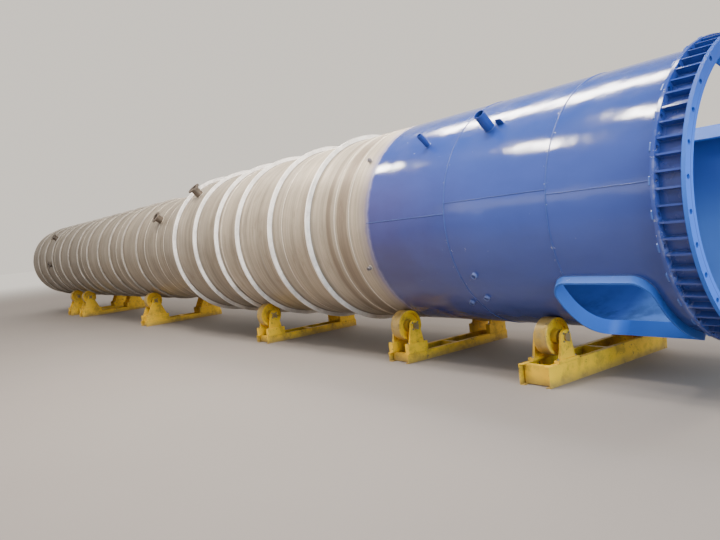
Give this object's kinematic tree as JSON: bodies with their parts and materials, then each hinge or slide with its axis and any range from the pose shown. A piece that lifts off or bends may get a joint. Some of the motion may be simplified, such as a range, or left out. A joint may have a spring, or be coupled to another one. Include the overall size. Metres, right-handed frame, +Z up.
{
  "type": "distillation column on turning rolls",
  "caption": "Distillation column lying on turning rolls: skirt with bolt chairs and access openings, ringed stainless shell stepping down through a cone, nozzles and heads.",
  "frame": {"origin": "on the floor under the middle of the column's length", "axes": "+X along the column's axis towards the base plate, +Z up"},
  "size_m": [34.5, 3.7996, 4.33],
  "materials": {
    "skirt_paint": "gloss blue coating with weld seams",
    "stainless_plate": "mill stainless with pickled welds",
    "ground_stainless": "bright ground stainless edges",
    "stand_paint": "worn yellow paint",
    "roller_steel": "yellow wheels with worn treads"
  },
  "bodies": {
    "column_and_stands": {"base_plate": "skirt_paint", "compression_ring": "skirt_paint", "chair_gussets": "skirt_paint", "skirt_base_course": "skirt_paint", "skirt_middle_course": "skirt_paint", "skirt_top_course": "skirt_paint", "near_access_collar": "skirt_paint", "far_access_collar": "skirt_paint", "pipe_sleeve": "skirt_paint", "small_pipe_sleeve": "skirt_paint", "vent_sleeves": "ground_stainless", "skirt_couplings": "stainless_plate", "bottom_head": "stainless_plate", "bottom_outlet": "stainless_plate", "lower_shell_1": "stainless_plate", "lower_shell_2": "stainless_plate", "lower_shell_3": "stainless_plate", "lower_rings": "ground_stainless", "cone": "stainless_plate", "upper_shell_1": "stainless_plate", "upper_shell_2": "stainless_plate", "upper_shell_3": "stainless_plate", "upper_shell_4": "stainless_plate", "upper_rings": "ground_stainless", "top_head": "stainless_plate", "top_nozzle": "stainless_plate", "side_nozzle_1": "stainless_plate", "side_nozzle_2": "stainless_plate", "side_nozzle_3": "stainless_plate", "hand_hole": "stainless_plate", "stand_1": "stand_paint", "stand_2": "stand_paint", "stand_3": "stand_paint", "stand_4": "stand_paint", "stand_5": "stand_paint", "stand_6": "stand_paint"},
    "roller_1_near": {"roller_1_near": "roller_steel"},
    "roller_1_far": {"roller_1_far": "roller_steel"},
    "roller_2_near": {"roller_2_near": "roller_steel"},
    "roller_2_far": {"roller_2_far": "roller_steel"},
    "roller_3_near": {"roller_3_near": "roller_steel"},
    "roller_3_far": {"roller_3_far": "roller_steel"},
    "roller_4_near": {"roller_4_near": "roller_steel"},
    "roller_4_far": {"roller_4_far": "roller_steel"},
    "roller_5_near": {"roller_5_near": "roller_steel"},
    "roller_5_far": {"roller_5_far": "roller_steel"},
    "roller_6_near": {"roller_6_near": "roller_steel"},
    "roller_6_far": {"roller_6_far": "roller_steel"}
  },
  "joints": [
    {"name": "roller_1_near_spin", "type": "hinge", "parent": "column_and_stands", "child": "roller_1_near", "pos_m": [14.69, -1.03515, 0.63707], "axis": [1, 0, 0], "continuous": true},
    {"name": "roller_1_far_spin", "type": "hinge", "parent": "column_and_stands", "child": "roller_1_far", "pos_m": [14.69, 1.03515, 0.63707], "axis": [1, 0, 0], "continuous": true},
    {"name": "roller_2_near_spin", "type": "hinge", "parent": "column_and_stands", "child": "roller_2_near", "pos_m": [11.5, -1.03515, 0.63707], "axis": [1, 0, 0], "continuous": true},
    {"name": "roller_2_far_spin", "type": "hinge", "parent": "column_and_stands", "child": "roller_2_far", "pos_m": [11.5, 1.03515, 0.63707], "axis": [1, 0, 0], "continuous": true},
    {"name": "roller_3_near_spin", "type": "hinge", "parent": "column_and_stands", "child": "roller_3_near", "pos_m": [6.45, -1.03515, 0.63707], "axis": [1, 0, 0], "continuous": true},
    {"name": "roller_3_far_spin", "type": "hinge", "parent": "column_and_stands", "child": "roller_3_far", "pos_m": [6.45, 1.03515, 0.63707], "axis": [1, 0, 0], "continuous": true},
    {"name": "roller_4_near_spin", "type": "hinge", "parent": "column_and_stands", "child": "roller_4_near", "pos_m": [-1.65, -0.93515, 0.81027], "axis": [1, 0, 0], "continuous": true},
    {"name": "roller_4_far_spin", "type": "hinge", "parent": "column_and_stands", "child": "roller_4_far", "pos_m": [-1.65, 0.93515, 0.81027], "axis": [1, 0, 0], "continuous": true},
    {"name": "roller_5_near_spin", "type": "hinge", "parent": "column_and_stands", "child": "roller_5_near", "pos_m": [-9.45, -0.93515, 0.81027], "axis": [1, 0, 0], "continuous": true},
    {"name": "roller_5_far_spin", "type": "hinge", "parent": "column_and_stands", "child": "roller_5_far", "pos_m": [-9.45, 0.93515, 0.81027], "axis": [1, 0, 0], "continuous": true},
    {"name": "roller_6_near_spin", "type": "hinge", "parent": "column_and_stands", "child": "roller_6_near", "pos_m": [-11.35, -0.93515, 0.81027], "axis": [1, 0, 0], "continuous": true},
    {"name": "roller_6_far_spin", "type": "hinge", "parent": "column_and_stands", "child": "roller_6_far", "pos_m": [-11.35, 0.93515, 0.81027], "axis": [1, 0, 0], "continuous": true}
  ]
}
